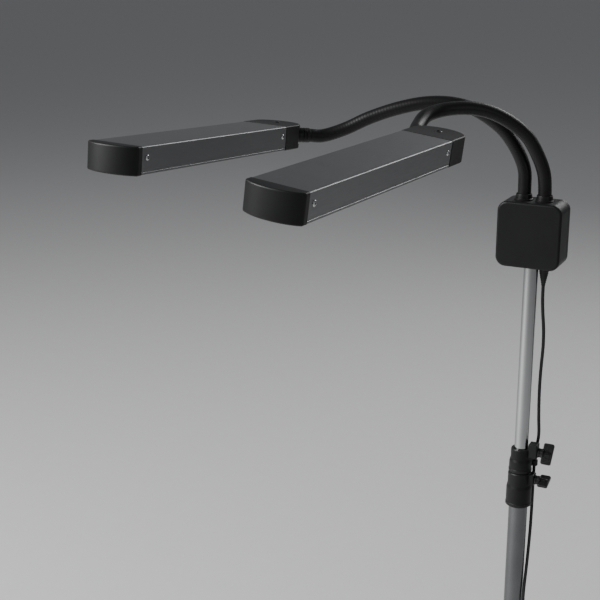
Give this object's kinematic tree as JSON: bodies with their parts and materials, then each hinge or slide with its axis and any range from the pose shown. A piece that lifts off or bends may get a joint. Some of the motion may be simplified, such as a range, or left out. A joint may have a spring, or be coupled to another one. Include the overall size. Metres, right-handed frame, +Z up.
{
  "type": "inspection light on a telescopic stand",
  "caption": "Pair of bar-shaped lamp heads on flexible necks above a junction box, carried by a telescopic pole with folding tripod legs and a mains cord.",
  "frame": {"origin": "on the floor, under the middle of the light's own box (its cord left out)", "axes": "+Z up the pole, -Y the way the lamp heads point, +X to the right of the pole, where the clamp knobs are"},
  "size_m": [0.7938, 1.014, 1.2512],
  "materials": {
    "anodised_aluminium": "satin anodised, fine lengthwise grain",
    "polished_tube": "polished",
    "satin_tube": "satin, dark grey",
    "black_plastic": "fine spark-eroded texture",
    "gloss_plastic": "semi-gloss moulded",
    "neck_sleeve": "ribbed black sleeve over a steel gooseneck",
    "rubber": "matt",
    "opal_diffuser": "opal acrylic",
    "led_board": "white solder mask",
    "steel_screw": "bright zinc",
    "driver_case": "plain"
  },
  "bodies": {
    "root": {"leg_hub": "black_plastic", "base_tube": "satin_tube", "base_clamp": "black_plastic", "cord_lower": "rubber", "cord_coil": "rubber", "plug": "rubber"},
    "base_knob": {"base_clamp_knob": "gloss_plastic"},
    "mid_section": {"mid_tube": "satin_tube", "mid_clamp": "black_plastic", "cord_clip": "black_plastic", "cord_upper": "rubber"},
    "mid_knob": {"mid_clamp_knob": "gloss_plastic"},
    "top_section": {"top_tube": "polished_tube", "tube_socket": "black_plastic", "box_shell": "black_plastic", "box_cover": "black_plastic", "led_driver": "driver_case", "strain_relief": "rubber", "left_neck_gland": "black_plastic", "right_neck_gland": "black_plastic"},
    "rocker": {"rocker_switch": "gloss_plastic"},
    "leg_slider": {"leg_collar": "black_plastic"},
    "leg_knob": {"leg_collar_knob": "gloss_plastic"},
    "strut_1": {"strut_1": "satin_tube"},
    "leg_1": {"leg_1": "anodised_aluminium", "foot_1": "rubber"},
    "strut_2": {"strut_2": "satin_tube"},
    "leg_2": {"leg_2": "anodised_aluminium", "foot_2": "rubber"},
    "strut_3": {"strut_3": "satin_tube"},
    "leg_3": {"leg_3": "anodised_aluminium", "foot_3": "rubber"},
    "left_neck_lower": {"left_neck_lower": "neck_sleeve"},
    "left_neck_middle": {"left_neck_middle": "neck_sleeve"},
    "left_neck_upper": {"left_neck_upper": "neck_sleeve"},
    "left_neck_tip": {"left_neck_tip": "neck_sleeve", "left_knuckle": "black_plastic"},
    "left_head": {"left_housing": "anodised_aluminium", "left_front_cap": "black_plastic", "left_rear_cap": "black_plastic", "left_led_board": "led_board", "left_diffuser": "opal_diffuser", "left_screw_1": "steel_screw", "left_screw_2": "steel_screw", "left_screw_3": "steel_screw", "left_screw_4": "steel_screw"},
    "right_neck_lower": {"right_neck_lower": "neck_sleeve"},
    "right_neck_middle": {"right_neck_middle": "neck_sleeve"},
    "right_neck_upper": {"right_neck_upper": "neck_sleeve"},
    "right_neck_tip": {"right_neck_tip": "neck_sleeve", "right_knuckle": "black_plastic"},
    "right_head": {"right_housing": "anodised_aluminium", "right_front_cap": "black_plastic", "right_rear_cap": "black_plastic", "right_led_board": "led_board", "right_diffuser": "opal_diffuser", "right_screw_1": "steel_screw", "right_screw_2": "steel_screw", "right_screw_3": "steel_screw", "right_screw_4": "steel_screw"}
  },
  "joints": [
    {"name": "base_knob_turn", "type": "hinge", "parent": "root", "child": "base_knob", "pos_m": [-0.02843, 0.09407, 0.725], "axis": [1, 0, 0], "range_deg": [-90, 90]},
    {"name": "mid_slide", "type": "slide", "parent": "root", "child": "mid_section", "axis": [0, 0, 1], "range_m": [0, 0.5], "deforming": ["cord_lower"]},
    {"name": "mid_knob_turn", "type": "hinge", "parent": "mid_section", "child": "mid_knob", "pos_m": [-0.02593, 0.09407, 0.766], "axis": [1, 0, 0], "range_deg": [-90, 90]},
    {"name": "top_slide", "type": "slide", "parent": "mid_section", "child": "top_section", "axis": [0, 0, 1], "range_m": [-0.22, 0.25], "deforming": ["cord_upper"]},
    {"name": "rocker_press", "type": "hinge", "parent": "top_section", "child": "rocker", "pos_m": [-0.05053, 0.11357, 1.074], "axis": [1, 0, 0], "range_deg": [-12, 0]},
    {"name": "strut_1_fold", "type": "hinge", "parent": "root", "child": "strut_1", "pos_m": [-0.06757, 0.0698, 0.053], "axis": [-0.809, 0.5878, 0], "range_deg": [0, 50]},
    {"name": "leg_1_fold", "type": "hinge", "parent": "strut_1", "child": "leg_1", "pos_m": [-0.16726, -0.06741, 0.15898], "axis": [-0.809, 0.5878, 0], "range_deg": [-100, 0]},
    {"name": "strut_2_fold", "type": "hinge", "parent": "root", "child": "strut_2", "pos_m": [-0.0201, 0.09094, 0.053], "axis": [-0.1045, -0.9945, 0], "range_deg": [0, 50]},
    {"name": "leg_2_fold", "type": "hinge", "parent": "strut_2", "child": "leg_2", "pos_m": [0.14858, 0.07321, 0.15898], "axis": [-0.1045, -0.9945, 0], "range_deg": [-100, 0]},
    {"name": "strut_3_fold", "type": "hinge", "parent": "root", "child": "strut_3", "pos_m": [-0.06214, 0.12148, 0.053], "axis": [0.9135, 0.4067, 0], "range_deg": [0, 50]},
    {"name": "leg_3_fold", "type": "hinge", "parent": "strut_3", "child": "leg_3", "pos_m": [-0.13112, 0.27643, 0.15898], "axis": [0.9135, 0.4067, 0], "range_deg": [-100, 0]},
    {"name": "leg_collar_slide", "type": "slide", "parent": "root", "child": "leg_slider", "axis": [0, 0, 1], "range_m": [0, 0.1842]},
    {"name": "leg_knob_turn", "type": "hinge", "parent": "leg_slider", "child": "leg_knob", "pos_m": [-0.04017, 0.07215, 0.27697], "axis": [0.4067, -0.9135, 0], "range_deg": [-90, 90]},
    {"name": "left_neck_swivel", "type": "hinge", "parent": "top_section", "child": "left_neck_lower", "pos_m": [-0.06473, 0.09407, 1.111], "axis": [0, 0, 1], "range_deg": [-60, 0]},
    {"name": "left_neck_bend_low", "type": "hinge", "parent": "left_neck_lower", "child": "left_neck_middle", "pos_m": [-0.07067, 0.09222, 1.17021], "axis": [0.3004, -0.9538, 0], "range_deg": [-8, 20]},
    {"name": "left_neck_bend_high", "type": "hinge", "parent": "left_neck_middle", "child": "left_neck_upper", "pos_m": [-0.15496, 0.06709, 1.2389], "axis": [0.3004, -0.9538, 0], "range_deg": [-15, 30]},
    {"name": "left_neck_tilt", "type": "hinge", "parent": "left_neck_upper", "child": "left_neck_tip", "pos_m": [-0.29337, 0.02983, 1.20174], "axis": [0.999, -0.0033, -0.0435], "range_deg": [-20, 25]},
    {"name": "left_head_swivel", "type": "hinge", "parent": "left_neck_tip", "child": "left_head", "pos_m": [-0.36429, -0.03014, 1.19859], "axis": [0.0436, 0.0766, 0.9961], "range_deg": [-40, 10]},
    {"name": "right_neck_swivel", "type": "hinge", "parent": "top_section", "child": "right_neck_lower", "pos_m": [-0.03713, 0.09407, 1.111], "axis": [0, 0, 1], "range_deg": [0, 60]},
    {"name": "right_neck_bend_low", "type": "hinge", "parent": "right_neck_lower", "child": "right_neck_middle", "pos_m": [-0.04269, 0.08654, 1.16795], "axis": [0.666, -0.7459, 0], "range_deg": [-8, 20]},
    {"name": "right_neck_bend_high", "type": "hinge", "parent": "right_neck_middle", "child": "right_neck_upper", "pos_m": [-0.11125, 0.02428, 1.24067], "axis": [0.666, -0.7459, 0], "range_deg": [-15, 30]},
    {"name": "right_neck_tilt", "type": "hinge", "parent": "right_neck_upper", "child": "right_neck_tip", "pos_m": [-0.1572, -0.04176, 1.23339], "axis": [0.9915, -0.0461, -0.1219], "range_deg": [-20, 25]},
    {"name": "right_head_swivel", "type": "hinge", "parent": "right_neck_tip", "child": "right_head", "pos_m": [-0.10684, -0.12736, 1.21925], "axis": [0.1221, 0.0031, 0.9925], "range_deg": [-10, 40]}
  ],
  "couplings": [
    {"joint": "leg_1_fold", "follows": "strut_1_fold", "ratio": -2},
    {"joint": "strut_2_fold", "follows": "strut_1_fold", "ratio": 1},
    {"joint": "leg_2_fold", "follows": "strut_1_fold", "ratio": -2},
    {"joint": "strut_3_fold", "follows": "strut_1_fold", "ratio": 1},
    {"joint": "leg_3_fold", "follows": "strut_1_fold", "ratio": -2},
    {"joint": "leg_collar_slide", "follows": "strut_1_fold", "m_per_rad": 0.21101}
  ]
}
